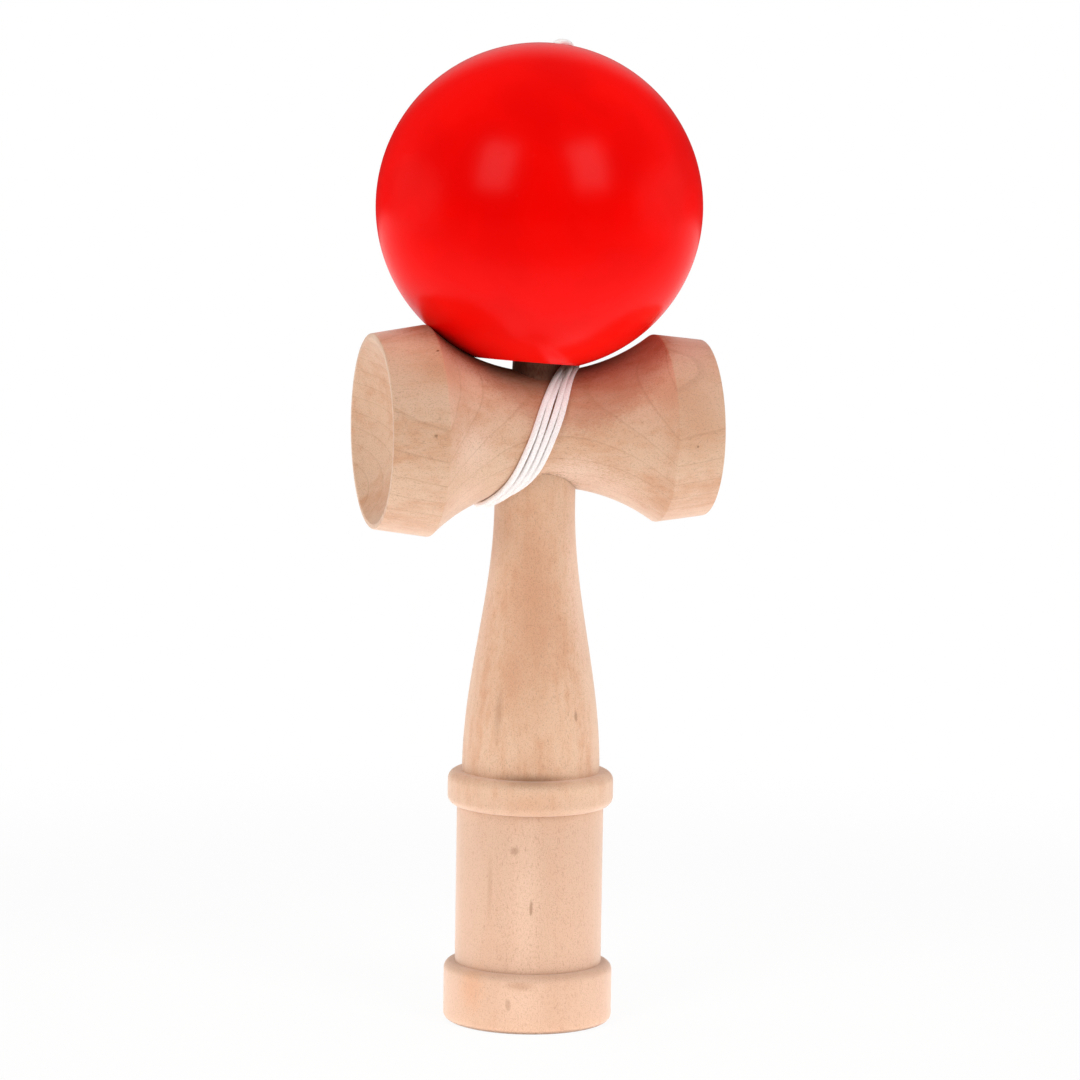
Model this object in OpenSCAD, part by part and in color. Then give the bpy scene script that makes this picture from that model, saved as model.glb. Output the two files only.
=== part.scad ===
// Cup and ball toy of turned wood: a handle with a spike, a cross-piece with a cup at each end, a ball on the
// spike, and the string that ties the ball to the handle, wound round the cross-piece for storage.
// Millimetres. The origin is the centre of the base, on the surface that the toy stands on. +Z runs up the
// handle, -X points to the big cup, and the string comes out of the cross-piece's back, on the +Y side.

/* [Handle] */
// Diameter of the base ring
base_d = 31.3; // [29:0.1:36]
// Height of the base ring
base_h = 11; // [8:0.1:16]
// Rounding of the base ring's lower edge
base_foot_edge = 1.3; // [0.4:0.1:1.4]
// Rounding of the base ring's upper edge
base_top_edge = 1.5; // [0.4:0.1:1.8]
// Diameter of the cup in the base
base_cup_d = 26.4; // [20:0.1:26.8]
// Depth of the cup in the base
base_cup_depth = 6; // [4.5:0.1:8]
// Diameter of the grip
grip_d = 27.2; // [24:0.1:28]
// Length of the grip, from the base ring to the collar
grip_len = 28.9; // [20:0.1:40]
// Diameter of the collar
collar_d = 30.7; // [29:0.1:36]
// Height of the collar
collar_h = 7; // [5:0.1:12]
// Rounding of the collar's edges
collar_edge = 1.3; // [0.4:0.1:1.5]
// Diameter of the neck where it stands on the collar
neck_foot_d = 25.5; // [18:0.1:27]
// Diameter of the neck where it enters the cross-piece
neck_top_d = 14.9; // [13.5:0.1:16]
// Length of the neck, from the collar to the cross-piece's underside
neck_len = 52.9; // [40:0.1:70]
// Straight stretch of the neck below the cross-piece
neck_straight = 3; // [1:0.1:6]
// Diameter of the spike at its foot
spike_d = 9.2; // [8:0.1:10]
// Height of the spike above the cross-piece
spike_len = 39; // [30:0.1:42]
// Diameter of the spike where its point begins
spike_shoulder_d = 6.6; // [4:0.1:7.5]
// Length of the spike's point
spike_point_len = 8; // [5:0.1:12]
// Diameter of the blunt end of the spike's point
spike_end_d = 3; // [2.2:0.1:4]
// Rounding of the spike's shoulder and end
spike_edge = 1; // [0.3:0.1:1]

/* [Cross-piece] */
// Length from rim to rim
cross_len = 62.6; // [58:0.1:72]
// Place of its middle, measured from the handle's axis towards the small cup
cross_shift = 0.35; // [0:0.05:0.6]
// Diameter of the big cup's rim
big_rim_d = 35.8; // [33:0.1:38]
// Diameter of the big cup's shoulder
big_shoulder_d = 38.9; // [36.5:0.1:40]
// Distance from the big cup's rim to its shoulder
big_skirt = 10.1; // [8:0.1:13]
// Depth of the big cup
big_cup_depth = 7.5; // [5:0.1:9]
// Diameter of the small cup's rim
small_rim_d = 32.6; // [29:0.1:34]
// Diameter of the small cup's shoulder
small_shoulder_d = 34.7; // [32:0.1:36]
// Distance from the small cup's rim to its shoulder
small_skirt = 9.1; // [6:0.1:11]
// Depth of the small cup
small_cup_depth = 6.5; // [5:0.1:8]
// Width of the flat rim round both cups, with its rounded edge
rim_land = 0.9; // [0.6:0.1:2]
// Diameter of the waist at its slimmest
waist_d = 21.2; // [20:0.1:23]
// Place of the slimmest point, measured from the handle's axis towards the small cup
waist_shift = 1.5; // [0:0.1:4]
// Rounding of the cross-piece's edges
cross_edge = 0.5; // [0.2:0.1:0.8]
// Glue gap between the handle's taper and the cross-piece's bore
glue_gap = 0.05; // [0.02:0.01:0.15]

/* [Ball] */
// Diameter of the ball
ball_d = 60; // [58:0.5:66]
// How much wider the ball's hole is than the foot of the spike
ball_play = 9.6; // [8:0.1:11]
// Bevel at the mouth of the hole
mouth_bevel = 0.6; // [0.3:0.05:1]
// Gap left between the spike's foot and the hole on the side that the ball leans from
lean_gap = 1.8; // [1:0.1:3]
// Direction that the ball's top leans to, from +X towards +Y
lean_towards = 36; // [0:1:90]
// Gap between the ball and the big cup's shoulder that it rests on
rest_gap = 0.3; // [0.25:0.05:1]
// Diameter of the string hole at the top of the ball
top_hole_d = 2.2; // [1.8:0.1:3]
// Diameter of the stop bead inside the ball
bead_d = 7; // [5:0.1:8]
// Gap between the stop bead and its neighbours
bead_gap = 0.3; // [0.2:0.05:0.6]
// Room between the spike's point and the string's end knot
point_room = 1.5; // [1:0.1:3]

/* [String] */
// Diameter of the string
string_d = 1; // [0.9:0.05:1.1]
// Diameter of the holes that the string is threaded through, in the handle, the cross-piece and the bead
thread_d = 1.8; // [1.6:0.1:2.2]
// Diameter of the knots at both ends
knot_d = 2.6; // [2.2:0.1:3]
// Gap round the knot in its pocket in the handle
knot_gap = 0.3; // [0.2:0.05:0.5]
// Turns of string that cross the front of the waist
winding_turns = 4; // [3:1:4]
// Distance from turn to turn along the cross-piece
winding_step = 1.85; // [1.8:0.05:2]
// Gap between the winding and the waist that it lies on
lay_gap = 0.15; // [0.1:0.05:0.25]
// Gap between the winding and the spike and neck that it goes round
turn_gap = 0.5; // [0.4:0.05:0.8]

/* [Hidden] */

wood = [0.87, 0.70, 0.54];
bead_wood = [0.78, 0.60, 0.40];
red = [0.86, 0.03, 0.03];
white = [0.95, 0.94, 0.92];

round_fn = 96;
corner_steps = 6;
curve_steps = 20;
past = 1;

// Heights up the handle
grip_z = base_h;
collar_z = grip_z + grip_len;
collar_top_z = collar_z + collar_h;
cross_z = collar_top_z + neck_len + waist_d / 2;
neck_curve_len = neck_len - neck_straight;
spike_z = cross_z + waist_d / 2;
spike_top_z = spike_z + spike_len;
// The taper that seats the cross-piece starts where the neck has just vanished into the waist
seat_z = cross_z - sqrt(pow(waist_d / 2, 2) - pow(neck_top_d / 2, 2)) + past;
seat_top_z = spike_z - past;

// Places along the cross-piece
big_rim_x = cross_shift - cross_len / 2;
small_rim_x = cross_shift + cross_len / 2;
big_shoulder_x = big_rim_x + big_skirt;
small_shoulder_x = small_rim_x - small_skirt;

// The ball's own frame: its middle, and its axis through both holes, which leans as far as the play allows
ball_r = ball_d / 2;
bore_r = (spike_d + ball_play) / 2;
mouth_r = bore_r + mouth_bevel;
mouth_w = -sqrt(pow(ball_r, 2) - pow(mouth_r, 2));
ball_lean = asin((ball_play / 2 - lean_gap) / -mouth_w);
ball_axis = [sin(ball_lean) * cos(lean_towards), sin(ball_lean) * sin(lean_towards), cos(ball_lean)];
ball_z = cross_z + big_shoulder_d / 2 + sqrt(pow(ball_r + rest_gap, 2) - pow(big_shoulder_x, 2));
ball_centre = [0, 0, ball_z];
// Places along the ball's axis, from its middle: the end knot, the bead above it and the end of the hole
knot_w = (spike_top_z - ball_z) * cos(ball_lean) + point_room + knot_d / 2;
bead_w = knot_w + knot_d / 2 + bead_gap / 2 + bead_d / 2;
bore_end_w = bead_w + bead_d / 2 + bead_gap;

// The string: its tightest bend, its flared way out of a hole, and the straight run at the end of a winding
string_r = string_d / 2;
bend_diameters = 2.2;
string_bend = bend_diameters * string_d;
flare_room = 0.3;
flare = string_r + flare_room;
string_side = [1, 0, 0];
tube_sides = 8;
winding_sides = 6;
turn_rings = 24;
span_rings = 2;
bend_rings = 5;
bend_reach = 0.6;
entry_reach = 0.42;
measure_step = 3;
measure_reach = 40;

// The winding's wave along the cross-piece: it turns back beside the spike at the top and the neck below
wave_tip = 0.98;
wave_top_x = spike_d / 2 + turn_gap + string_r;
wave_low_x = -neck_top_d / 2 - turn_gap - string_r;
wave_size = (wave_top_x - wave_low_x + (winding_turns - 1.5) * winding_step) / 2;
wave_middle = wave_top_x + (winding_turns - 1) * winding_step - wave_size;
back_shift = wave_middle + winding_step / 4;
// Angles round the waist, from its top over the front: out of the hole at the back, and off to the ball
winding_start = asin(string_bend / (waist_d / 2)) - 90;
leave_angle = 238;
winding_end = 360 * (winding_turns - 1) + leave_angle;

// Way of the string from the winding, up behind the ball to its top hole
ball_route = [
  [-9.8, 15.6, 111.4],
  [-9.6, 18.1, 116.8],
  [-8.9, 20.6, 122.2],
  [-7.6, 23.1, 127.6],
  [-5.6, 25.6, 133.0],
  [-2.9, 28.1, 138.4],
  [0.1, 29.9, 143.7],
  [3.0, 30.7, 149.0],
  [5.3, 30.5, 154.2],
  [7.0, 29.4, 159.0],
  [8.0, 27.7, 163.6],
  [8.7, 25.4, 167.7],
  [9.0, 22.5, 171.4],
  [8.8, 19.2, 174.6],
  [8.1, 15.5, 177.4],
  [6.9, 11.6, 179.7],
  [5.3, 7.6, 181.45],
];

function unit(v) = v / norm(v);

// Radius of the spherical hollow that has this mouth and depth
function hollow_r(mouth_d, depth) = (pow(mouth_d / 2, 2) + pow(depth, 2)) / (2 * depth);

// A corner of an outline at b, between a and c, rounded to radius r
function round_corner(a, b, c, r) =
  let (u = unit(a - b),
       v = unit(c - b),
       half = acos(u * v) / 2,
       middle = b + unit(u + v) * r / sin(half),
       first = b + u * r / tan(half) - middle,
       last = b + v * r / tan(half) - middle,
       sweep = 180 - 2 * half)
  [for (i = [0:corner_steps])
    let (t = i / corner_steps)
    middle + (first * sin((1 - t) * sweep) + last * sin(t * sweep)) / sin(sweep)];

function flat(p) = [p.x, p.y];

// The outline that runs through [radius, height, rounding] points
function outline(p) =
  [for (i = [0:len(p) - 1])
    each p[i].z == 0 ? [flat(p[i])] : round_corner(flat(p[i - 1]), flat(p[i]), flat(p[i + 1]), p[i].z)];

// The waist is two arcs that meet at its slimmest point and rise to the two shoulders
function arc_r(run, rise) = (pow(run, 2) + pow(rise, 2)) / (2 * rise);
big_arc_r = arc_r(waist_shift - big_shoulder_x, (big_shoulder_d - waist_d) / 2);
small_arc_r = arc_r(small_shoulder_x - waist_shift, (small_shoulder_d - waist_d) / 2);
function waist_arc_r(x) = x < waist_shift ? big_arc_r : small_arc_r;
function waist_drop(x) = sqrt(pow(waist_arc_r(x), 2) - pow(x - waist_shift, 2));
function waist_r(x) = waist_d / 2 + waist_arc_r(x) - waist_drop(x);
function waist_slant(x) = waist_arc_r(x) / waist_drop(x);

// The neck swells from its top to the collar in one ogee
function neck_r(t) = (neck_foot_d + neck_top_d) / 4 + (neck_foot_d - neck_top_d) / 4 * cos(180 * t);

handle_points = concat(
  [[0, 0, 0],
   [base_d / 2, 0, base_foot_edge],
   [base_d / 2, base_h, base_top_edge],
   [grip_d / 2, base_h, 0],
   [grip_d / 2, collar_z, 0],
   [collar_d / 2, collar_z, collar_edge],
   [collar_d / 2, collar_top_z, collar_edge]],
  [for (i = [0:curve_steps])
    let (t = i / curve_steps)
    [neck_r(t), collar_top_z + t * neck_curve_len, 0]],
  [[neck_top_d / 2, seat_z, 0],
   [spike_d / 2, seat_top_z, 0],
   [spike_shoulder_d / 2, spike_top_z - spike_point_len, spike_edge],
   [spike_end_d / 2, spike_top_z, spike_edge],
   [0, spike_top_z, 0]]);

bore_points = [
  [0, cross_z - big_shoulder_d],
  [neck_top_d / 2 + glue_gap, cross_z - big_shoulder_d],
  [neck_top_d / 2 + glue_gap, seat_z],
  [spike_d / 2 + glue_gap, seat_top_z],
  [spike_d / 2 + glue_gap, cross_z + big_shoulder_d],
  [0, cross_z + big_shoulder_d]];

cross_points = concat(
  [[0, big_rim_x, 0],
   [big_rim_d / 2, big_rim_x, cross_edge],
   [big_shoulder_d / 2, big_shoulder_x, cross_edge]],
  [for (i = [1:2 * curve_steps - 1])
    let (x = big_shoulder_x + (small_shoulder_x - big_shoulder_x) * i / (2 * curve_steps))
    [waist_r(x), x, 0]],
  [[small_shoulder_d / 2, small_shoulder_x, cross_edge],
   [small_rim_d / 2, small_rim_x, cross_edge],
   [0, small_rim_x, 0]]);

// The winding's place along the cross-piece, and its point in space, at angle a round the waist
function winding_x(a) =
  wave_middle + wave_size * asin(wave_tip * cos(a)) / asin(wave_tip) - winding_step * a / 360
  - (sin(a) < 0 ? back_shift * pow(sin(a), 2) : 0);
function winding_point(a) =
  let (x = winding_x(a),
       r = waist_r(x) + (lay_gap + string_r) * waist_slant(x))
  [x, -r * sin(a), cross_z + r * cos(a)];
function winding_run(a) = unit(winding_point(a + 1) - winding_point(a - 1));

// A bend of the string from p along d to q, where it runs along e
function bend(p, d, q, e, share) =
  let (reach = share * norm(q - p))
  [for (i = [0:bend_rings])
    let (t = i / bend_rings,
         s = 1 - t)
    s * s * s * p + 3 * s * s * t * (p + reach * d) + 3 * s * t * t * (q - reach * e) + t * t * t * q];

// A smooth way through the points of a route, which leaves out its first and last point
function smooth(p) =
  [for (i = [1:len(p) - 3], j = [0:span_rings - 1])
    let (t = j / span_rings)
    (2 * p[i] + (p[i + 1] - p[i - 1]) * t
     + (2 * p[i - 1] - 5 * p[i] + 4 * p[i + 1] - p[i + 2]) * t * t
     + (3 * p[i] - p[i - 1] - 3 * p[i + 1] + p[i + 2]) * t * t * t) / 2];

winding_steps = round((winding_end - winding_start) * turn_rings / 360);
winding_angles = [for (i = [0:winding_steps])
  winding_start + (winding_end - winding_start) * i / winding_steps];
// The string comes out of its hole this far from the handle's axis, and bends into the winding
hole_out = [0, 1, 0];
winding_first = winding_point(winding_start);
exit_y = winding_first.y - norm([winding_first.x, winding_first.z - cross_z]);
exit_point = [0, exit_y, cross_z];
winding_last = winding_point(winding_end) + string_d * winding_run(winding_end);
winding_path = concat(
  [exit_point - string_d * hole_out],
  bend(exit_point, hole_out, winding_first, winding_run(winding_start), bend_reach),
  [for (i = [1:winding_steps]) winding_point(winding_angles[i])],
  [winding_last]);

// The string goes into the ball this far from its middle
entry_point = ball_centre + (ball_r + flare - string_bend) * ball_axis;
route_end = ball_route[len(ball_route) - 1];
route_run = unit(route_end - ball_route[len(ball_route) - 2]);
smooth_route = smooth(concat(
  [winding_last - string_bend * winding_run(winding_end), winding_last],
  ball_route,
  [route_end + string_bend * route_run]));
over_ball_path = concat(smooth_route, bend(route_end, route_run, entry_point, -ball_axis, entry_reach));

// Distance between neighbouring turns, measured on points a few degrees apart
winding_gap = min([for (a = [winding_start:measure_step:winding_end - 360],
                        b = [a + 360 - measure_reach:measure_step:min(a + 360 + measure_reach, winding_end)])
  norm(winding_point(a) - winding_point(b))]) - string_d;
echo(str("least gap of the winding to itself: ", winding_gap, " mm"));

function path_length(p) =
  [for (i = [1:len(p) - 1]) norm(p[i] - p[i - 1])] * [for (i = [1:len(p) - 1]) 1];
echo(str("string on the outside: ", path_length(winding_path) + path_length(over_ball_path), " mm"));

// A round string along a path, as rings that don't twist
function runs(p, first, last) =
  [for (i = [0:len(p) - 1]) i == 0 ? first : i == len(p) - 1 ? last : unit(p[i + 1] - p[i - 1])];
function squared(side, run) = unit(side - (side * run) * run);
function sides(run, first) =
  [for (i = 0, side = squared(first, run[0]); i < len(run);
        side = squared(side, run[min(i + 1, len(run) - 1)]), i = i + 1) side];

module tube(path, first, last, n) {
  run = runs(path, first, last);
  side = sides(run, string_side);
  top = (len(path) - 1) * n;
  points = [for (i = [0:len(path) - 1], j = [0:n - 1])
    path[i] + string_r * (side[i] * cos(360 * j / n) + cross(run[i], side[i]) * sin(360 * j / n))];
  walls = [for (i = [0:len(path) - 2], j = [0:n - 1])
    let (a = i * n + j,
         b = i * n + (j + 1) % n)
    each [[a, b + n, b], [a, a + n, b + n]]];
  caps = [for (j = [1:n - 2]) each [[0, j, j + 1], [top, top + j + 1, top + j]]];
  polyhedron(points, concat(walls, caps));
}

// Places its children in the ball's own frame
module in_ball() {
  translate(ball_centre)
    rotate(a = ball_lean, v = [-sin(lean_towards), cos(lean_towards), 0])
      children();
}

// A cylinder along Y from y at the height of the cross-piece
module along_y(y, length, d1, d2) {
  translate([0, y, cross_z])
    rotate([-90, 0, 0])
      cylinder(d1 = d1, d2 = d2, h = length, $fn = round_fn);
}

// The knot's pocket is as deep as leaves the knot inside the taper
pocket_d = knot_d + 2 * knot_gap;
taper_r = spike_d / 2 + (neck_top_d - spike_d) / 2 * (seat_top_z - cross_z) / (seat_top_z - seat_z);
knot_y = knot_d - taper_r;

module handle() {
  base_hollow_r = hollow_r(base_cup_d, base_cup_depth);
  color(wood)
    difference() {
      rotate_extrude($fn = round_fn)
        polygon(outline(handle_points));
      translate([0, 0, base_cup_depth - base_hollow_r])
        sphere(r = base_hollow_r, $fn = round_fn);
      along_y(knot_y, neck_top_d, thread_d, thread_d);
      along_y(-neck_top_d, neck_top_d + knot_y + knot_d / 2 + knot_gap, pocket_d, pocket_d);
    }
}

module cup_cross() {
  big_hollow_r = hollow_r(big_rim_d - 2 * rim_land, big_cup_depth);
  small_hollow_r = hollow_r(small_rim_d - 2 * rim_land, small_cup_depth);
  mouth_y = waist_r(0);
  color(wood)
    difference() {
      translate([0, 0, cross_z])
        rotate([0, 90, 0])
          rotate_extrude($fn = round_fn)
            polygon(outline(cross_points));
      translate([big_rim_x + big_cup_depth - big_hollow_r, 0, cross_z])
        sphere(r = big_hollow_r, $fn = round_fn);
      translate([small_rim_x - small_cup_depth + small_hollow_r, 0, cross_z])
        sphere(r = small_hollow_r, $fn = round_fn);
      rotate_extrude($fn = round_fn)
        polygon(bore_points);
      along_y(0, waist_d, thread_d, thread_d);
      along_y(mouth_y - 2 * flare, 2 * flare + past, thread_d, thread_d + 2 * (2 * flare + past));
    }
}

module ball() {
  color(red)
    in_ball()
      difference() {
        sphere(r = ball_r, $fn = round_fn);
        translate([0, 0, -ball_d])
          cylinder(r = bore_r, h = ball_d + bore_end_w, $fn = round_fn);
        translate([0, 0, mouth_w - past])
          cylinder(r1 = mouth_r + past, r2 = bore_r, h = past + mouth_bevel, $fn = round_fn);
        cylinder(d = top_hole_d, h = ball_d, $fn = round_fn);
        translate([0, 0, ball_r - flare])
          cylinder(d1 = top_hole_d, d2 = top_hole_d + 2 * (flare + past), h = flare + past, $fn = round_fn);
      }
}

module stop_bead() {
  color(bead_wood)
    in_ball()
      translate([0, 0, bead_w])
        difference() {
          sphere(d = bead_d, $fn = round_fn);
          translate([0, 0, -bead_d])
            cylinder(d = thread_d, h = 2 * bead_d, $fn = round_fn);
        }
}

// The string's knot in the handle and its straight run out through the cross-piece
module string_anchor() {
  color(white) {
    translate([0, knot_y, cross_z])
      sphere(d = knot_d, $fn = round_fn);
    along_y(knot_y, exit_y - string_d - knot_y, string_d, string_d);
  }
}

module string_winding() {
  color(white)
    tube(winding_path, hole_out, winding_run(winding_end), winding_sides);
}

module string_over_ball() {
  color(white)
    tube(over_ball_path, winding_run(winding_end), -ball_axis, tube_sides);
}

// The string's straight run into the ball, through the bead, to its end knot
module string_tail() {
  color(white)
    in_ball() {
      translate([0, 0, knot_w])
        sphere(d = knot_d, $fn = round_fn);
      translate([0, 0, knot_w])
        cylinder(d = string_d, h = ball_r + flare - string_bend - knot_w, $fn = round_fn);
    }
}

handle();
cup_cross();
ball();
stop_bead();
string_anchor();
string_winding();
string_over_ball();
string_tail();
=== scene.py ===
"""Turned cup and ball toy: a handle with a spike, a cross-piece with two cups, a red ball and a string.

Everything is in metres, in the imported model's own frame. -Y is the front, and -X points to the big cup.
"""

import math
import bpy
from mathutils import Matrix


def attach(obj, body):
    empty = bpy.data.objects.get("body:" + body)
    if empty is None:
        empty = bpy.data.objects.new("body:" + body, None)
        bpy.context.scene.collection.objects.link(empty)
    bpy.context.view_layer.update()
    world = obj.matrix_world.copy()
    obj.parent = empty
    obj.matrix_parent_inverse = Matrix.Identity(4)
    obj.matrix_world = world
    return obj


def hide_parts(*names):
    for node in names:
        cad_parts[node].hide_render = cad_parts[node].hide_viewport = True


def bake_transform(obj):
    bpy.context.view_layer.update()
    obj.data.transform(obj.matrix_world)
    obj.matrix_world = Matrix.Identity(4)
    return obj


bl_info = {
    "name": "Cup and Ball Toy",
    "version": (1, 0, 0),
    "blender": (4, 5, 0),
    "location": "3D View > Sidebar > Toy",
    "description": "Builds the turned pieces, the wound string and the studio of a cup and ball toy",
    "category": "Add Mesh",
}

from collections import namedtuple

import bmesh
import bpy
from bpy.props import FloatProperty, FloatVectorProperty, IntProperty, PointerProperty
from mathutils import Matrix, Vector

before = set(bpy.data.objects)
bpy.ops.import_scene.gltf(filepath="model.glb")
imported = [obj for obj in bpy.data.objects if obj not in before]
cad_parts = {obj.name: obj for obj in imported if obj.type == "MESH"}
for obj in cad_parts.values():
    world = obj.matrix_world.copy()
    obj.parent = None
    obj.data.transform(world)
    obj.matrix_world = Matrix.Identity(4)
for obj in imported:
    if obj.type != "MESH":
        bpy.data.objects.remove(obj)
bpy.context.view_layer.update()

MM = 0.001
# Steps of the turned pieces: round the axis, along a curve, in a rounded corner and on a straight stretch
ROUND_SEGMENTS = 192
CURVE_STEPS = 48
CORNER_STEPS = 8
WALL_STEP = 0.8 * MM


def length_property(name, millimetres, description):
    """A size in metres, given here in millimetres."""
    return FloatProperty(
        name=name, description=description, default=millimetres * MM, min=0.0, precision=5, unit="LENGTH"
    )


def angle_property(name, degrees, description):
    """An angle in radians, given here in degrees."""
    return FloatProperty(name=name, description=description, default=math.radians(degrees), subtype="ANGLE")


def colour_property(name, colour, description):
    """A colour, given here as display values from 0 to 255."""
    return FloatVectorProperty(
        name=name, description=description, default=[linear(c) for c in colour],
        subtype="COLOR", size=3, min=0.0, max=1.0,
    )


def linear(value):
    """The linear value of a display value from 0 to 255, by the standard display curve."""
    share = value / 255
    return share / 12.92 if share <= 0.04045 else ((share + 0.055) / 1.055) ** 2.4


class ToyHandleSizes(bpy.types.PropertyGroup):
    """Sizes of the handle."""

    base_d: length_property("Base", 31.3, "Diameter of the base ring")
    base_h: length_property("Base height", 11, "Height of the base ring")
    base_foot_edge: length_property("Base foot edge", 1.3, "Rounding of the base ring's lower edge")
    base_top_edge: length_property("Base top edge", 1.5, "Rounding of the base ring's upper edge")
    base_cup_d: length_property("Base cup", 26.4, "Diameter of the cup in the base")
    base_cup_depth: length_property("Base cup depth", 6, "Depth of the cup in the base")
    grip_d: length_property("Grip", 27.2, "Diameter of the grip")
    grip_len: length_property("Grip length", 29.5, "Length of the grip")
    collar_d: length_property("Collar", 30.7, "Diameter of the collar")
    collar_h: length_property("Collar height", 6.4, "Height of the collar")
    collar_edge: length_property("Collar edge", 1.7, "Rounding of the collar's edges")
    neck_foot_d: length_property("Neck foot", 25.5, "Diameter of the neck on the collar")
    neck_top_d: length_property("Neck top", 14.9, "Diameter of the neck below the cross-piece")
    neck_len: length_property("Neck length", 52.9, "Length of the neck")
    neck_straight: length_property("Neck straight", 3, "Straight stretch at the top of the neck")
    spike_d: length_property("Spike", 9.2, "Diameter of the spike at its foot")
    spike_len: length_property("Spike length", 39, "Height of the spike above the cross-piece")
    spike_shoulder_d: length_property("Spike shoulder", 6.6, "Diameter where the spike's point begins")
    spike_point_len: length_property("Spike point", 8, "Length of the spike's point")
    spike_end_d: length_property("Spike end", 3, "Diameter of the spike's blunt end")
    spike_edge: length_property("Spike edge", 1, "Rounding of the spike's shoulder and end")


class ToyCrossSizes(bpy.types.PropertyGroup):
    """Sizes of the cross-piece."""

    cross_len: length_property("Length", 62.6, "Length from rim to rim")
    cross_shift: length_property("Shift", 0.35, "Place of the middle, towards the small cup")
    big_rim_d: length_property("Big rim", 35.8, "Diameter of the big cup's rim")
    big_shoulder_d: length_property("Big shoulder", 38.9, "Diameter of the big cup's shoulder")
    big_skirt: length_property("Big skirt", 10.1, "Distance from the big cup's rim to its shoulder")
    big_cup_depth: length_property("Big cup depth", 7.5, "Depth of the big cup")
    small_rim_d: length_property("Small rim", 32.6, "Diameter of the small cup's rim")
    small_shoulder_d: length_property("Small shoulder", 34.7, "Diameter of the small cup's shoulder")
    small_skirt: length_property("Small skirt", 9.1, "Distance from the small cup's rim to its shoulder")
    small_cup_depth: length_property("Small cup depth", 6.5, "Depth of the small cup")
    rim_land: length_property("Rim land", 0.9, "Width of the flat rim round both cups")
    waist_d: length_property("Waist", 21.2, "Diameter of the waist at its slimmest")
    waist_shift: length_property("Waist shift", 1.5, "Place of the slimmest point, towards the small cup")
    cross_edge: length_property("Edges", 0.5, "Rounding of the cross-piece's edges")
    seam: length_property("Seam", 0.08, "Gap round the handle in the cross-piece")


class ToyBallSizes(bpy.types.PropertyGroup):
    """Sizes of the ball and the bead inside it."""

    ball_d: length_property("Ball", 60, "Diameter of the ball")
    ball_play: length_property("Play", 9.6, "How much wider the hole is than the spike's foot")
    mouth_bevel: length_property("Mouth bevel", 0.2, "Bevel at the mouth of the hole")
    lean_gap: length_property("Lean gap", 1.8, "Gap left beside the spike's foot")
    rest_gap: length_property("Rest gap", 0, "Gap between the ball and the big cup's shoulder")
    top_hole_d: length_property("String hole", 2.2, "Diameter of the string hole at the top")
    bead_d: length_property("Bead", 7, "Diameter of the stop bead")
    bead_gap: length_property("Bead gap", 0.3, "Gap round the stop bead")
    point_room: length_property("Point room", 1.5, "Room between the spike's point and the knot")
    lean_towards: angle_property("Lean direction", 36, "Direction that the ball's top leans to")


class ToyStringSizes(bpy.types.PropertyGroup):
    """Sizes of the string."""

    string_d: length_property("String", 1.12, "Diameter of the string")
    thread_d: length_property("Thread hole", 1.8, "Diameter of the holes that the string runs through")
    knot_d: length_property("Knot", 2.6, "Diameter of the knots at both ends")
    lay_gap: length_property("Lay gap", 0.05, "Gap between the winding and the waist")
    step_front: length_property("Front step", 1.33, "Distance from turn to turn across the front")
    step_top: length_property("Top step", 0.76, "Distance from turn to turn beside the spike")
    step_low: length_property("Low step", 0.95, "Distance from turn to turn beside the neck")
    pile_top: length_property("Top pile", 0.5, "How far every second turn is pushed up beside the spike")
    pile_low: length_property("Low pile", 0.65, "How far the inner turns are pushed out beside the neck")
    turns: IntProperty(name="Turns", description="Turns across the front of the waist", default=4, min=1)


class ToyFinishes(bpy.types.PropertyGroup):
    """Colours of the finishes."""

    wood_pale: colour_property("Pale wood", (220, 181, 150), "Early wood")
    # Paler pink wood; on the neck's edges and the waist's undersides it is painted light
    pale_wood_and_painted_light: colour_property("Light wood", (231, 195, 170), "Pale pink fields of the early wood")
    wood_tan: colour_property("Tan wood", (207, 154, 118), "Late wood")
    # Darker, pinker wood for the grip and base, partly painted shade against the table glow's strong light
    # there
    lower_tone_and_painted_shade: colour_property("Worn wood", (203, 165, 139), "Wood that hands have rubbed pale")
    wood_line: colour_property("Growth line", (168, 121, 88), "Thin line at the end of each year's growth")
    wood_pore: colour_property("Pores", (144, 97, 68), "Pores and flecks")
    # Painted red light, bounced from the ball onto the cross-piece round it
    painted_red_bounce: colour_property("Stained wood", (158, 44, 28), "Wood that the lacquer has stained")
    # Painted shade, in the crease under the ball and on the spike's foot; the same colour also makes one
    # small speck
    painted_shade_and_speck: colour_property("Rubbed wood", (104, 44, 32), "Wood that the lacquered ball rests on")
    wood_mark: colour_property("Marks", (134, 92, 58), "Small knots and scuffs")
    lacquer: colour_property("Lacquer", (255, 4, 0), "Ball")
    lacquer_deep: colour_property("Deep lacquer", (243, 2, 0), "Thicker lacquer of the ball")
    thread: colour_property("String", (255, 252, 250), "Outer yarns of the string")
    thread_shade: colour_property("String shade", (238, 229, 227), "Between the yarns of the string")
    floor: colour_property("Floor", (250, 250, 250), "Floor near the toy")
    floor_far: colour_property("Far floor", (90, 90, 90), "Light that the floor sends back further off")


class ToyStage(bpy.types.PropertyGroup):
    """The camera and the lights."""

    distance: length_property("Distance", 1000, "Distance of the camera from the point that it looks at")
    aim_height: length_property("Aim height", 89.9, "Height of the point that the camera looks at")
    aim_right: length_property("Aim right", 1.07, "How far right of the handle's axis that point is")
    azimuth: angle_property("Azimuth", -14.7, "Angle of the view round the handle")
    elevation: angle_property("Elevation", 7.2, "Angle of the view above the horizon")
    roll: angle_property("Roll", 0.9, "Tilt of the camera about its line of sight")
    lens: FloatProperty(name="Lens", description="Focal length in millimetres", default=180.6)
    sensor: FloatProperty(name="Sensor", description="Width of the sensor in millimetres", default=36.0)


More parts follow.
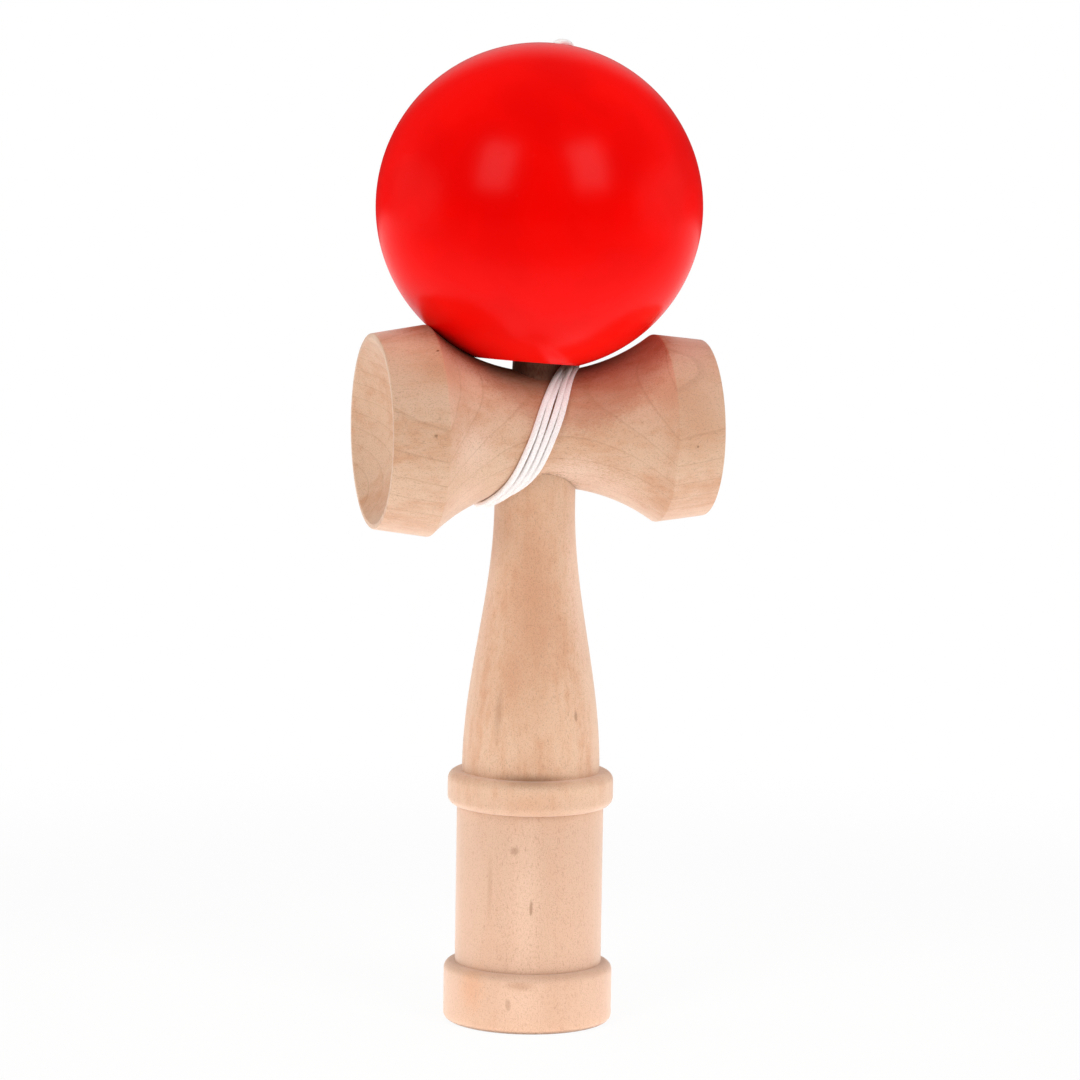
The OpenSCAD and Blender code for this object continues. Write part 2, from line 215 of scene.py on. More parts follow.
class ToyProperties(bpy.types.PropertyGroup):
    """All sizes, colours and view settings of the toy."""

    handle: PointerProperty(type=ToyHandleSizes)
    cross: PointerProperty(type=ToyCrossSizes)
    ball: PointerProperty(type=ToyBallSizes)
    string: PointerProperty(type=ToyStringSizes)
    finish: PointerProperty(type=ToyFinishes)
    stage: PointerProperty(type=ToyStage)


def props():
    """The scene's property groups."""
    return bpy.context.scene.cup_and_ball


# Outlines of the turned pieces

def arc(centre, radius, first, last, steps):
    """Points on an arc, with angles in radians from the first axis."""
    return [
        (centre[0] + radius * math.cos(a), centre[1] + radius * math.sin(a))
        for a in (first + (last - first) * i / steps for i in range(steps + 1))
    ]


def round_corner(before, corner, after, radius):
    """The corner of an outline, rounded to a radius."""
    b = Vector(corner)
    u = (Vector(before) - b).normalized()
    v = (Vector(after) - b).normalized()
    half = math.acos(u.dot(v)) / 2
    middle = b + (u + v).normalized() * radius / math.sin(half)
    first = b + u * radius / math.tan(half) - middle
    last = b + v * radius / math.tan(half) - middle
    sweep = math.pi - 2 * half
    return [
        tuple(middle + (first * math.sin((1 - t) * sweep) + last * math.sin(t * sweep)) / math.sin(sweep))
        for t in (i / CORNER_STEPS for i in range(CORNER_STEPS + 1))
    ]


def outline(points):
    """The outline that runs through (radius, height, rounding) points."""
    made = []
    for i, (r, h, rounding) in enumerate(points):
        if rounding:
            made += round_corner(points[i - 1][:2], (r, h), points[i + 1][:2], rounding)
        else:
            made.append((r, h))
    return made


def fine(points):
    """The outline with its long straight stretches divided into short ones."""
    made = [points[0]]
    for a, b in zip(points, points[1:]):
        count = max(1, round(math.dist(a, b) / WALL_STEP))
        made += [(a[0] + (b[0] - a[0]) * i / count, a[1] + (b[1] - a[1]) * i / count)
                 for i in range(1, count + 1)]
    return made


def cup(mouth_r, depth, rim, side):
    """A cup's hollow, from its middle to its mouth. The wood is above the rim, or below it for side -1."""
    radius = (mouth_r ** 2 + depth ** 2) / (2 * depth)
    first = side * math.pi / 2
    last = first - side * math.asin(mouth_r / radius)
    return arc((0, rim + side * (depth - radius)), radius, first, last, CURVE_STEPS)


Heights = namedtuple("Heights", "collar collar_top cross spike spike_top")


def heights():
    """Heights up the handle: collar, its top, the cross-piece's middle, the spike's foot and its top."""
    h = props().handle
    waist_r = props().cross.waist_d / 2
    collar = h.base_h + h.grip_len
    collar_top = collar + h.collar_h
    cross = collar_top + h.neck_len + waist_r
    spike = cross + waist_r
    return Heights(collar, collar_top, cross, spike, spike + h.spike_len)


# How far the ends of the taper lie inside the cross-piece
SEAT_INSET = 1 * MM


def seat_heights():
    """Ends of the taper that seats the cross-piece on the handle."""
    z = heights()
    waist_r = props().cross.waist_d / 2
    neck_r = props().handle.neck_top_d / 2
    return z.cross - math.sqrt(waist_r ** 2 - neck_r ** 2) + SEAT_INSET, z.spike - SEAT_INSET


def handle_outline():
    """Half section of the handle, from the middle of the base cup to the spike's end."""
    h = props().handle
    z = heights()
    seat_z, seat_top_z = seat_heights()
    swell = (h.neck_foot_d - h.neck_top_d) / 4
    mean = (h.neck_foot_d + h.neck_top_d) / 4
    neck_curve = h.neck_len - h.neck_straight
    neck = [
        (mean + swell * math.cos(math.pi * i / CURVE_STEPS), z.collar_top + neck_curve * i / CURVE_STEPS, 0)
        for i in range(CURVE_STEPS + 1)
    ]
    outside = outline(
        [(h.base_cup_d / 2, 0, 0),
         (h.base_d / 2, 0, h.base_foot_edge),
         (h.base_d / 2, h.base_h, h.base_top_edge),
         (h.grip_d / 2, h.base_h, 0),
         (h.grip_d / 2, z.collar, 0),
         (h.collar_d / 2, z.collar, h.collar_edge),
         (h.collar_d / 2, z.collar_top, h.collar_edge)]
        + neck
        + [(h.neck_top_d / 2, seat_z, 0),
           (h.spike_d / 2, seat_top_z, 0),
           (h.spike_shoulder_d / 2, z.spike_top - h.spike_point_len, h.spike_edge),
           (h.spike_end_d / 2, z.spike_top, h.spike_edge),
           (0, z.spike_top, 0)]
    )
    return cup(h.base_cup_d / 2, h.base_cup_depth, 0, 1)[:-1] + fine(outside)


def rim_places():
    """Places of the two rims along the cross-piece."""
    c = props().cross
    return c.cross_shift - c.cross_len / 2, c.cross_shift + c.cross_len / 2


def shoulder_places():
    """Places of the two shoulders along the cross-piece."""
    big_rim_x, small_rim_x = rim_places()
    return big_rim_x + props().cross.big_skirt, small_rim_x - props().cross.small_skirt


def waist_arc(x):
    """Radius of the waist's arc at a place along the cross-piece, and its drop there."""
    c = props().cross
    big_x, small_x = shoulder_places()
    run, rise = (
        (c.waist_shift - big_x, (c.big_shoulder_d - c.waist_d) / 2)
        if x < c.waist_shift
        else (small_x - c.waist_shift, (c.small_shoulder_d - c.waist_d) / 2)
    )
    radius = (run ** 2 + rise ** 2) / (2 * rise)
    return radius, math.sqrt(radius ** 2 - (x - c.waist_shift) ** 2)


def waist_radius(x):
    """Radius of the waist at a place along the cross-piece."""
    radius, drop = waist_arc(x)
    return props().cross.waist_d / 2 + radius - drop


def waist_slant(x):
    """How much longer a step square to the waist is when it is measured along the radius."""
    radius, drop = waist_arc(x)
    return radius / drop


def cross_outline():
    """Half section of the cross-piece, from the middle of the big cup to the middle of the small one."""
    c = props().cross
    big_rim_x, small_rim_x = rim_places()
    big_x, small_x = shoulder_places()
    big_cup = cup(c.big_rim_d / 2 - c.rim_land, c.big_cup_depth, big_rim_x, 1)
    small_cup = cup(c.small_rim_d / 2 - c.rim_land, c.small_cup_depth, small_rim_x, -1)[::-1]
    count = 2 * CURVE_STEPS
    waist = [
        (waist_radius(x), x, 0)
        for x in (big_x + (small_x - big_x) * i / count for i in range(1, count))
    ]
    rim_edge = c.cross_edge / 2
    outside = outline(
        [big_cup[-2] + (0,),
         big_cup[-1] + (rim_edge,),
         (c.big_rim_d / 2, big_rim_x, rim_edge),
         (c.big_shoulder_d / 2, big_x, c.cross_edge)]
        + waist
        + [(c.small_shoulder_d / 2, small_x, c.cross_edge),
           (c.small_rim_d / 2, small_rim_x, rim_edge),
           small_cup[0] + (rim_edge,),
           small_cup[1] + (0,)]
    )
    return big_cup[:-2] + fine(outside) + small_cup[2:]


def ball_frame():
    """The ball's middle, its lean and the matrix of its own frame."""
    b = props().ball
    big_x, _ = shoulder_places()
    _, mouth_w = ball_mouth()
    lean = math.asin((b.ball_play / 2 - b.lean_gap) / -mouth_w)
    rise = math.sqrt((b.ball_d / 2 + b.rest_gap) ** 2 - big_x ** 2)
    middle = Vector((0, 0, heights().cross + props().cross.big_shoulder_d / 2 + rise))
    turn = Matrix.Rotation(lean, 4, Vector((-math.sin(b.lean_towards), math.cos(b.lean_towards), 0)))
    return middle, lean, Matrix.Translation(middle) @ turn


def ball_mouth():
    """Radius of the ball's hole, and its bevelled mouth's place along the ball's axis."""
    b = props().ball
    bore_r = (props().handle.spike_d + b.ball_play) / 2
    return bore_r, -math.sqrt((b.ball_d / 2) ** 2 - (bore_r + b.mouth_bevel) ** 2)


def ball_places():
    """Places along the ball's axis of the end knot and of the hole's end. The stop bead is between them."""
    b = props().ball
    knot_d = props().string.knot_d
    middle, lean, _ = ball_frame()
    knot_w = (heights().spike_top - middle.z) * math.cos(lean) + b.point_room + knot_d / 2
    bead_foot_w = knot_w + knot_d / 2 + b.bead_gap / 2
    return knot_w, bead_foot_w + b.bead_d + b.bead_gap


# Flare of the holes that the string runs out of
STRING_FLARE = 0.8 * MM


def ball_outline():
    """Closed half section of the ball: its skin, and then the spike's hole and the string hole inside it."""
    b = props().ball
    ball_r = b.ball_d / 2
    bore_r, mouth_w = ball_mouth()
    _, bore_end_w = ball_places()
    hole_r = b.top_hole_d / 2
    top = math.acos((hole_r + STRING_FLARE) / ball_r)
    foot = math.asin(mouth_w / ball_r)
    skin = arc((0, 0), ball_r, top, foot, 3 * CURVE_STEPS)
    bore = fine([(bore_r, mouth_w + b.mouth_bevel), (bore_r, bore_end_w), (hole_r, bore_end_w),
                 (hole_r, ball_r - STRING_FLARE)])
    return skin, bore


# Meshes

def piece(name, data):
    """A new object of a mesh, a camera or a lamp, in the scene."""
    made = bpy.data.objects.new(name, data)
    bpy.context.scene.collection.objects.link(made)
    return made


def mesh_of(name, bm):
    """A mesh of what was built."""
    mesh = bpy.data.meshes.new(name)
    bm.to_mesh(mesh)
    bm.free()
    return mesh


# Points of an outline that are closer than this to the axis lie on it
AXIS_GAP = 1e-7


def lathe(name, section, closed=False):
    """A mesh turned from (radius, height) points about Z. A closed section is a ring off the axis."""
    bm = bmesh.new()
    rings = []
    for r, h in section:
        if r < AXIS_GAP:
            rings.append([bm.verts.new((0, 0, h))])
        else:
            rings.append([
                bm.verts.new((r * math.cos(a), r * math.sin(a), h))
                for a in (2 * math.pi * i / ROUND_SEGMENTS for i in range(ROUND_SEGMENTS))
            ])
    pairs = list(zip(rings, rings[1:]))
    if closed:
        pairs.append((rings[-1], rings[0]))
    for low, high in pairs:
        for i in range(ROUND_SEGMENTS):
            j = (i + 1) % ROUND_SEGMENTS
            corners = [low[i % len(low)], low[j % len(low)], high[j % len(high)], high[i % len(high)]]
            bm.faces.new(list(dict.fromkeys(corners)))
    bmesh.ops.recalc_face_normals(bm, faces=bm.faces)
    return mesh_of(name, bm)


def back_drill(name, section):
    """A cutter for the string's hole, turned about a line from the handle's axis to the back."""
    mesh = lathe(name, section)
    mesh.transform(Matrix.Translation((0, 0, heights().cross)) @ Matrix.Rotation(-math.pi / 2, 4, "X"))
    return mesh


SHARP_ANGLE = math.radians(28)


def smooth(mesh):
    """Shades a mesh smooth between its sharp edges."""
    mesh.shade_smooth()
    mesh.set_sharp_from_angle(angle=SHARP_ANGLE)


def cut(target, cutter_mesh):
    """Takes a cutter's shape out of a piece."""
    cutter = piece("cutter", cutter_mesh)
    modifier = target.modifiers.new("cut", "BOOLEAN")
    modifier.operation = "DIFFERENCE"
    modifier.solver = "EXACT"
    modifier.object = cutter
    graph = bpy.context.evaluated_depsgraph_get()
    mesh = bpy.data.meshes.new_from_object(target.evaluated_get(graph))
    target.modifiers.clear()
    target.data = mesh
    bpy.data.objects.remove(cutter)


def tube(name, path, radius, sides, relief):
    """A closed round tube along a path. relief(place, angle) is a share added to the radius."""
    bm = bmesh.new()
    runs = [(path[min(i + 1, len(path) - 1)] - path[max(i - 1, 0)]).normalized() for i in range(len(path))]
    side = Vector((1, 0, 0))
    place = 0.0
    rings = []
    for i, (point, run) in enumerate(zip(path, runs)):
        side = (side - side.dot(run) * run).normalized()
        other = run.cross(side)
        place += (point - path[i - 1]).length if i else 0.0
        ring = []
        for j in range(sides):
            a = 2 * math.pi * j / sides
            out = side * math.cos(a) + other * math.sin(a)
            ring.append(bm.verts.new(point + radius * (1 + relief(place, a)) * out))
        rings.append(ring)
    for low, high in zip(rings, rings[1:]):
        for j in range(sides):
            k = (j + 1) % sides
            bm.faces.new((low[j], low[k], high[k], high[j]))
    bm.faces.new(list(reversed(rings[0])))
    bm.faces.new(rings[-1])
    return mesh_of(name, bm)


# The string's way

# The winding runs in a wave along the waist: its middle, its size, and how pointed its two ends are
WAVE_MIDDLE = -1.49 * MM
WAVE_SIZE = 6.37 * MM
WAVE_TIP = 0.99
# Both ends bend towards the small cup, with these powers, and the low end then dips towards the big cup
WAVE_RISE = 1.42 * MM
RISE_POWER_ABOVE = 4
RISE_POWER_BELOW = 2
WAVE_DIP = 3.0 * MM
# The dip and the piles come in close to the ends, with this power
END_POWER = 6
# Its turns part a little: between the middle ones above, before the last one below
PART_ABOVE = 0.3 * MM
PART_BELOW = 0.2 * MM
# Brings the most that a share less its cube can be to 1
PART_SCALE = 2.6
# The parting above grows up to this many turns from the middle
MIDDLE_GAP = 0.5
# Where the last turn leaves the waist, the size of the string's bends, and how far those at both holes reach
LEAVE_ANGLE = math.radians(238)
STRING_BEND = 2.2 * MM
EXIT_REACH = 0.6
ENTRY_REACH = 0.34
# Rings of the string: their distance on straight stretches, and their number in a bend, a turn and a step
# of the route
RING_STEP = 0.3 * MM
EXIT_RINGS = 10
ENTRY_RINGS = 16
TURN_RINGS = 240
ROUTE_RINGS = 18
TUBE_SIDES = 12
# The string's plait: how far a yarn runs in a turn, yarns each way and relief as a share of the radius
YARN_PITCH = 2.2 * MM
YARNS = 4
YARN_RELIEF = 0.05
# Gap round the knot in the handle
KNOT_GAP = 0.3 * MM

# The string's way from the winding up behind the ball to its top
BALL_ROUTE = [
    (-0.0098, 0.0156, 0.1114),
    (-0.0096, 0.0181, 0.1168),
    (-0.0089, 0.0206, 0.1222),
    (-0.0076, 0.0231, 0.1276),
    (-0.0056, 0.0256, 0.1330),
    (-0.0029, 0.0281, 0.1384),
    (0.0001, 0.0299, 0.1437),
    (0.0030, 0.0307, 0.1490),
    (0.0053, 0.0305, 0.1542),
    (0.0070, 0.0294, 0.1590),
    (0.0080, 0.0277, 0.1636),
    (0.0087, 0.0254, 0.1677),
    (0.0090, 0.0225, 0.1714),
    (0.0092, 0.0190, 0.1742),
    (0.0090, 0.0151, 0.1768),
    (0.0084, 0.0110, 0.1789),
    (0.0073, 0.0069, 0.1805),
]


def winding_turn(a):
    """The turn's number at an angle round the waist. It changes behind the waist, from one to the next."""
    whole, share = divmod(a / (2 * math.pi), 1)
    behind = max(0.0, 2 * share - 1)
    return whole + behind * behind * (3 - 2 * behind)


def winding_place(a):
    """The winding's place along the cross-piece at an angle round the waist, from its top over the front."""
    s = props().string
    up = math.cos(a)
    end = up ** END_POWER
    part = PART_SCALE * up * (1 - up * up)
    wave = math.asin(WAVE_TIP * up) / math.asin(WAVE_TIP)
    turn = winding_turn(a)
    middle_turn = (s.turns - 1) / 2
    x = WAVE_MIDDLE + WAVE_SIZE * wave
    if up > 0:
        step = s.step_front - (s.step_front - s.step_top) * up ** 2
        x += WAVE_RISE * wave ** RISE_POWER_ABOVE
        x += PART_ABOVE * part * max(-MIDDLE_GAP, min(MIDDLE_GAP, middle_turn - turn))
    else:
        step = s.step_front - (s.step_front - s.step_low) * end
        x += WAVE_RISE * wave ** RISE_POWER_BELOW - WAVE_DIP * end
        x += PART_BELOW * part * max(0.0, turn - (s.turns - 2))
    x += (middle_turn - turn) * step
    if math.sin(a) < 0:
        x -= (WAVE_MIDDLE + s.turns / 2 * s.step_front) * math.sin(a) ** 2
    return x


def winding_point(a):
    """A point of the winding's middle line. Turns ride up on their neighbours where they crowd."""
    s = props().string
    x = winding_place(a)
    up = math.cos(a)
    turn = winding_turn(a)
    if up > 0:
        pile = s.pile_top * math.sin(math.pi / 2 * turn) ** 2
    else:
        pile = s.pile_low * math.sin(math.pi * min(turn / (s.turns - 1), 1))
    r = waist_radius(x) + (s.lay_gap + pile * up ** END_POWER + s.string_d / 2) * waist_slant(x)
    return Vector((x, -r * math.sin(a), heights().cross + r * up))


def winding_run(a):
    """The direction of the winding at an angle."""
    step = math.radians(1)
    return (winding_point(a + step) - winding_point(a - step)).normalized()


def bend(p, d, q, e, share, count):
    """A bend of the string from p along d to q, where it runs along e."""
    near = p + share * (q - p).length * d
    far = q - share * (q - p).length * e
    made = []
    for i in range(count + 1):
        t = i / count
        s = 1 - t
        made.append(s ** 3 * p + 3 * s * s * t * near + 3 * s * t * t * far + t ** 3 * q)
    return made


def through(points, count):
    """A smooth line through points, which leaves out the first and the last one."""
    made = []
    for a, b, c, d in zip(points, points[1:], points[2:], points[3:]):
        for j in range(count):
            t = j / count
            made.append((2 * b + (c - a) * t + (2 * a - 5 * b + 4 * c - d) * t * t
                         + (3 * b - a - 3 * c + d) * t ** 3) / 2)
    return made


def knot_place():
    """Place of the string's knot in the handle, from the handle's axis towards the back."""
    h = props().handle
    seat_z, seat_top_z = seat_heights()
    share = (seat_top_z - heights().cross) / (seat_top_z - seat_z)
    return props().string.knot_d - h.spike_d / 2 - (h.neck_top_d - h.spike_d) / 2 * share


def string_path():
    """The string's middle line, from its knot in the handle to its knot inside the ball."""
    s = props().string
    cross_z = heights().cross
    out = Vector((0, 1, 0))
    # Out of the handle and the cross-piece's back
    start = math.asin(STRING_BEND / (props().cross.waist_d / 2)) - math.pi / 2
    first = winding_point(start)
    exit_point = Vector((0, first.y - math.hypot(first.x, first.z - cross_z), cross_z))
    knot_end = Vector((0, knot_place() - s.knot_d / 2, cross_z))
    count = round((exit_point - knot_end).length / RING_STEP)
    path = [knot_end + (exit_point - knot_end) * i / count for i in range(count)]
    path += bend(exit_point, out, first, winding_run(start), EXIT_REACH, EXIT_RINGS)
    # Round the waist
    end = 2 * math.pi * (s.turns - 1) + LEAVE_ANGLE
    rings = round((end - start) / (2 * math.pi) * TURN_RINGS)
    path += [winding_point(start + (end - start) * i / rings) for i in range(1, rings)]
    # Up behind the ball
    route = [Vector(p) for p in BALL_ROUTE]
    run = (route[-1] - route[-2]).normalized()
    last = winding_point(end)
    before = last - STRING_BEND * winding_run(end)
    path += through([before, last, *route, route[-1] + STRING_BEND * run], ROUTE_RINGS)
    # Into the ball
    middle, _, place = ball_frame()
    axis = (place.to_3x3() @ Vector((0, 0, 1))).normalized()
    entry = middle + (props().ball.ball_d / 2 + STRING_FLARE - STRING_BEND) * axis
    path += bend(route[-1], run, entry, -axis, ENTRY_REACH, ENTRY_RINGS)
    knot_w, _ = ball_places()
    end_knot = middle + (knot_w - s.knot_d / 2) * axis
    count = round((entry - end_knot).length / RING_STEP)
    path += [entry + (end_knot - entry) * i / count for i in range(1, count + 1)]
    return path, exit_point


def yarn(place, angle):
    """Relief of the string's plaited yarns, as a share of its radius."""
    wave = 2 * math.pi * place / YARN_PITCH
    return YARN_RELIEF * math.cos(YARNS * angle + wave) * math.cos(YARNS * angle - wave)


def knot_swell(gap):
    """How much thicker a knot makes the string, this far from the string's end, as a share of its radius."""
    s = props().string
    r = s.knot_d / 2
    bulge = math.sqrt(max(0.0, r * r - (gap - r) ** 2)) if gap < s.knot_d else 0.0
    return max(0.0, 2 * bulge / s.string_d - 1)


# Materials

# Places of the Mix node's colour sockets
COLOUR_A = 6
COLOUR_B = 7
COLOUR_RESULT = 2
WHITE = (1.0, 1.0, 1.0, 1.0)


class Nodes:
    """A node tree, with short ways to add to it."""

    def __init__(self, tree):
        self.tree = tree

    def put(self, socket, value):
        """Sets a socket, or links it to another."""
        if isinstance(value, bpy.types.NodeSocket):
            self.tree.links.new(value, socket)
        else:
            socket.default_value = value

    def add(self, kind, inputs, **settings):
        """A new node, with its settings and its inputs by their names or places."""
        node = self.tree.nodes.new("ShaderNode" + kind)
        for name, value in settings.items():
            setattr(node, name, value)
        for key, value in inputs.items():
            self.put(node.inputs[key], value)
        return node

    def math(self, operation, a, b=0.0, c=0.0):
        """A number worked out from others."""
        return self.add("Math", {0: a, 1: b, 2: c}, operation=operation).outputs[0]

    def vector(self, operation, a, b=None, scale=None):
        """A vector or number worked out from vectors."""
        inputs = {0: a, 1: b, "Scale": scale}
        given = {key: value for key, value in inputs.items() if value is not None}
        node = self.add("VectorMath", given, operation=operation)
        return node.outputs["Value" if operation in ("LENGTH", "DOT_PRODUCT") else "Vector"]

    def step(self, value, low, high, to_low=0.0, to_high=1.0):
        """A number that changes smoothly as a value goes from low to high."""
        inputs = {"Value": value, "From Min": low, "From Max": high, "To Min": to_low, "To Max": to_high}
        return self.add("MapRange", inputs, interpolation_type="SMOOTHSTEP").outputs["Result"]

    def mix(self, share, a, b):
        """A colour mixed from two."""
        inputs = {"Factor": share, COLOUR_A: a, COLOUR_B: b}
        return self.add("Mix", inputs, data_type="RGBA").outputs[COLOUR_RESULT]

    def join(self, share, a, b, output):
        """Joins two shaders, mixed by a share, to the tree's output."""
        node = self.add("MixShader", {0: share, 1: a.outputs[0], 2: b.outputs[0]})
        self.put(self.tree.nodes[output].inputs["Surface"], node.outputs[0])


class Finish(Nodes):
    """A material's node tree. Its point is in millimetres, in the toy's frame."""

    def __init__(self, name):
        self.material = bpy.data.materials.new(name)
        self.material.use_nodes = True
        super().__init__(self.material.node_tree)
        self.shader = self.tree.nodes["Principled BSDF"]
        self.point = self.vector("SCALE", self.add("TexCoord", {}).outputs["Object"], scale=1 / MM)

    def noise(self, at, scale, detail=2.0, roughness=0.5):
        """Noise from 0 to 1."""
        inputs = {"Vector": at, "Scale": scale, "Detail": detail, "Roughness": roughness}
        return self.add("TexNoise", inputs).outputs["Fac"]

    def grain(self, along, wide, long, detail=2.0, roughness=0.5):
        """Noise that is drawn out along a grain, with its scales across the grain and along it."""
        across = Vector((1, 1, 1)) - along
        drawn = self.vector("MULTIPLY", self.point, tuple(wide * across + long * along))
        return self.noise(drawn, 1.0, detail, roughness)

    def spots(self, at, scale):
        """Distance to the nearest of many scattered points."""
        return self.add("TexVoronoi", {"Vector": at, "Scale": scale}).outputs["Distance"]

    def bump(self, height, distance, strength):
        """Relief on the surface, in metres."""
        node = self.add("Bump", {"Height": height, "Distance": distance, "Strength": strength})
        self.put(self.shader.inputs["Normal"], node.outputs["Normal"])

    def finish(self, inputs):
        """Sets or links the shader's inputs by their names."""
        for name, value in inputs.items():
            self.put(self.shader.inputs[name], value)
        return self.material


def rgba(colour):
    """A colour property as a shader colour."""
    return (*colour, 1.0)


# The wood's patterns: scales across the grain and along it, detail and roughness
UNEVEN = (0.09, 0.05)
FIBRE = (4.5, 0.3, 3.0, 0.6)
PORE = (4.2, 1.3, 1.0)
CLOUD = (0.12, 0.045)
BAND = (0.7, 0.015)
MOTTLE = (0.6, 0.35)
# Its fine stipple: scale and detail
STIPPLE = (5.0, 1.0)
# How much a pattern darkens the wood, and the shift that keeps the wood's mean tone
CLOUD_TONE = (0.5, 0.0)
FIBRE_TONE = (0.5, -0.2)
BAND_TONE = (0.8, -0.4)
MOTTLE_TONE = (1.0, -0.5)
# Values between which a pattern comes in. Those of late wood and growth lines are shares of a year's growth
CLOUD_EDGE = (0.3, 0.7)
PORE_EDGE = (0.6, 0.75)
STIPPLE_EDGE = (0.48, 0.75)
LATE_EDGE = (0.3, 0.96)
LINE_RISE = (0.89, 0.965)
LINE_FALL = (0.975, 1.0)
# How far growth lines stray, in millimetres
STRAY = 0.4
PORE_STRENGTH = 0.36
STIPPLE_STRENGTH = 0.34
# Zones have ragged edges. The share of their size is less where they are wider than this, in millimetres
ZONE_RAGGED = 0.8
RAGGED_WIDTH = 6.0
# Depth in metres and strength of the relief, and how much of it the fibres have
WOOD_RELIEF = (0.03 * MM, 0.5)
FIBRE_RELIEF = 0.6
WOOD_ROUGHNESS = 0.55
WOOD_SHINE = 0.5
SHEEN = 0.35
SHEEN_ROUGHNESS = 0.45


def wood_finish(name, grain, growth, zones):
    """Bare sanded wood.

    grain is the axis that its fibres follow. growth is a point of the tree's middle, the distance of a line
    from it, the width of a year's growth, and the strengths of the lines and of the darker late wood. zones
    are (place, size along the grain, size across, edge, strength, colour). Some zones are painted light and
    painted shade.
    """
    f = props().finish
    w = Finish(name)
    along = Vector(grain)
    across = Vector((1, 1, 1)) - along
    pith, line_at, year, line_strength, late_strength = growth
    # Years of growth round the tree's middle, a little uneven
    flat = w.vector("MULTIPLY", w.vector("SUBTRACT", w.point, pith), tuple(across))
    reach = w.math("MULTIPLY_ADD", w.grain(along, *UNEVEN), 2 * STRAY, w.vector("LENGTH", flat))
    phase = w.math("FRACT", w.math("DIVIDE", w.math("SUBTRACT", reach, line_at + STRAY), year))
    line = w.math("MULTIPLY", w.step(phase, *LINE_RISE), w.step(phase, *LINE_FALL, 1.0, 0.0))
    # The wood's tone
    fibre = w.grain(along, *FIBRE)
    patterns = (
        (w.step(w.grain(along, *CLOUD), *CLOUD_EDGE), CLOUD_TONE),
        (fibre, FIBRE_TONE),
        (w.grain(along, *BAND), BAND_TONE),
        (w.grain(along, *MOTTLE), MOTTLE_TONE),
    )
    tone = w.math("MULTIPLY", w.step(phase, *LATE_EDGE), late_strength)
    for pattern, (weight, shift) in patterns:
        tone = w.math("ADD", tone, w.math("MULTIPLY_ADD", pattern, weight, shift))
    colour = w.mix(w.step(tone, 0.0, 1.0), rgba(f.wood_pale), rgba(f.wood_tan))
    # Zones. Inside the painted red bounce light and the painted shade under the ball, the shine and sheen
    # are taken out
    pore = w.grain(along, *PORE)
    shine = WOOD_SHINE
    sheen = SHEEN
    for place, long, wide, edge, strength, tint in zones:
        gap = w.vector("MULTIPLY", w.vector("SUBTRACT", w.point, place), tuple(along / long + across / wide))
        ragged = ZONE_RAGGED * min(1.0, RAGGED_WIDTH / wide)
        limit = 1.0 + ragged / 2
        rough = w.math("MULTIPLY_ADD", pore, ragged, w.vector("LENGTH", gap))
        inside = w.step(rough, limit, limit - edge)
        colour = w.mix(w.math("MULTIPLY", inside, strength), colour, rgba(getattr(f, tint)))
        if tint in ("painted_red_bounce", "painted_shade_and_speck"):
            kept = w.math("SUBTRACT", 1.0, inside)
            shine = w.math("MULTIPLY", kept, shine)
            sheen = w.math("MULTIPLY", kept, sheen)
    colour = w.mix(w.math("MULTIPLY", line, line_strength), colour, rgba(f.wood_line))
    # Short pores and a fine stipple
    pores = w.math("MULTIPLY", w.step(pore, *PORE_EDGE), PORE_STRENGTH)
    dots = w.math("MULTIPLY", w.step(w.noise(w.point, *STIPPLE), *STIPPLE_EDGE), STIPPLE_STRENGTH)
    colour = w.mix(w.math("MAXIMUM", pores, dots), colour, rgba(f.wood_pore))
    w.bump(w.math("SUBTRACT", w.math("MULTIPLY", fibre, FIBRE_RELIEF), pores), *WOOD_RELIEF)
    return w.finish({"Base Color": colour, "Roughness": WOOD_ROUGHNESS, "Specular IOR Level": shine,
                     "Sheen Weight": sheen, "Sheen Roughness": SHEEN_ROUGHNESS})


# The lacquer's patterns: scale and detail, and the values between which one comes in
THICK = (0.06, 2.0)
THICK_EDGE = (0.35, 0.75)
SPECK_SCALE = 0.32
SPECK_EDGE = (0.05, 0.09)
PEEL = (0.9, 2.0)
BRUSH = (0.12, 1.0)
# Heights of the peel and of the brush marks beside the specks
PEEL_HEIGHT = 0.3
BRUSH_HEIGHT = 3.0
LACQUER_RELIEF = (0.03 * MM, 0.6)
LACQUER_ROUGHNESS = 0.24
LACQUER_SHINE = 0.06


def lacquer_finish():
    """Red lacquer, brushed thin, with a few specks of dust in it."""
    f = props().finish
    w = Finish("red_lacquer")
    thick = w.step(w.noise(w.point, *THICK), *THICK_EDGE)
    specks = w.step(w.spots(w.point, SPECK_SCALE), *SPECK_EDGE, 1.0, 0.0)
    peel = w.math("MULTIPLY_ADD", w.noise(w.point, *PEEL), PEEL_HEIGHT, specks)
    w.bump(w.math("MULTIPLY_ADD", w.noise(w.point, *BRUSH), BRUSH_HEIGHT, peel), *LACQUER_RELIEF)
    return w.finish({"Base Color": w.mix(thick, rgba(f.lacquer), rgba(f.lacquer_deep)),
                     "Roughness": LACQUER_ROUGHNESS, "Specular IOR Level": LACQUER_SHINE})


# The cotton's fibres: scale, detail and roughness, and the values between which they come in
COTTON = (6.0, 3.0, 0.7)
COTTON_EDGE = (0.35, 0.62)
COTTON_RELIEF = (0.06 * MM, 0.6)
COTTON_ROUGHNESS = 0.85


def string_finish():
    """White plaited cotton."""
    f = props().finish
    w = Finish("white_cotton")
    fibre = w.noise(w.point, *COTTON)
    colour = w.mix(w.step(fibre, *COTTON_EDGE), rgba(f.thread_shade), rgba(f.thread))
    w.bump(fibre, *COTTON_RELIEF)
    return w.finish({"Base Color": colour, "Roughness": COTTON_ROUGHNESS})
